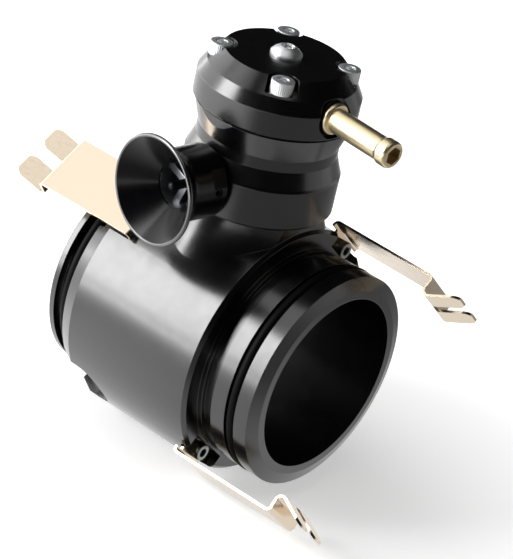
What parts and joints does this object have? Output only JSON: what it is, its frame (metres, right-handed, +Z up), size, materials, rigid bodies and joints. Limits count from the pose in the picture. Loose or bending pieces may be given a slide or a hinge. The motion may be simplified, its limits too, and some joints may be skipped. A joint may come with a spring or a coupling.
{
  "type": "blow off valve",
  "caption": "Blow off valve on a short sealed pipe adaptor, with a flanged cap, brass hose barb, side trumpet outlet and spring clips at both pipe ends.",
  "frame": {"origin": "where the pipe axis and the valve axis meet, on the pipe bore's axis", "axes": "+X along the pipe towards the end with the sloped lip, +Z up along the valve towards its cap, +Y to the side away from the trumpet"},
  "size_m": [0.1356, 0.0864, 0.1367],
  "materials": {
    "black_anodised": "satin black anodised aluminium",
    "bright_aluminium": "turned",
    "rubber": "smooth black rubber",
    "zinc_plate": "bright zinc plate",
    "brass": "polished",
    "stainless": "smooth spring stainless",
    "spring_steel": "drawn wire",
    "guide_plastic": "plain white bearing plastic"
  },
  "bodies": {
    "adaptor": {"pipe_body": "black_anodised", "front_o_ring": "rubber", "rear_o_ring": "rubber", "swivel_o_ring": "rubber", "retaining_wire": "spring_steel", "front_clip_upper": "stainless", "front_clip_lower": "stainless", "rear_clip_upper": "stainless", "rear_clip_lower": "stainless", "clip_screws": "zinc_plate"},
    "head": {"valve_body": "black_anodised", "return_spring": "spring_steel", "cap_gasket": "rubber", "cap": "black_anodised", "cap_screws": "zinc_plate", "blanking_screw": "zinc_plate", "blanking_washer": "zinc_plate", "vacuum_barb": "brass", "barb_o_ring": "rubber", "outlet_nipple": "bright_aluminium", "trumpet": "black_anodised", "trumpet_set_screw": "spring_steel"},
    "valve_piston": {"piston": "bright_aluminium", "piston_o_ring": "rubber", "piston_guide_ring": "guide_plastic", "seat_ring": "rubber"}
  },
  "joints": [
    {"name": "head_turn", "type": "hinge", "parent": "adaptor", "child": "head", "pos_m": [0, 0, 0.048], "axis": [0, 0, 1], "range_deg": [-30, 90]},
    {"name": "piston_lift", "type": "slide", "parent": "head", "child": "valve_piston", "axis": [0, 0, 1], "range_m": [0, 0.008], "stiffness_N_per_m": 2000, "springref_m": -0.01, "deforming": ["return_spring"]}
  ]
}
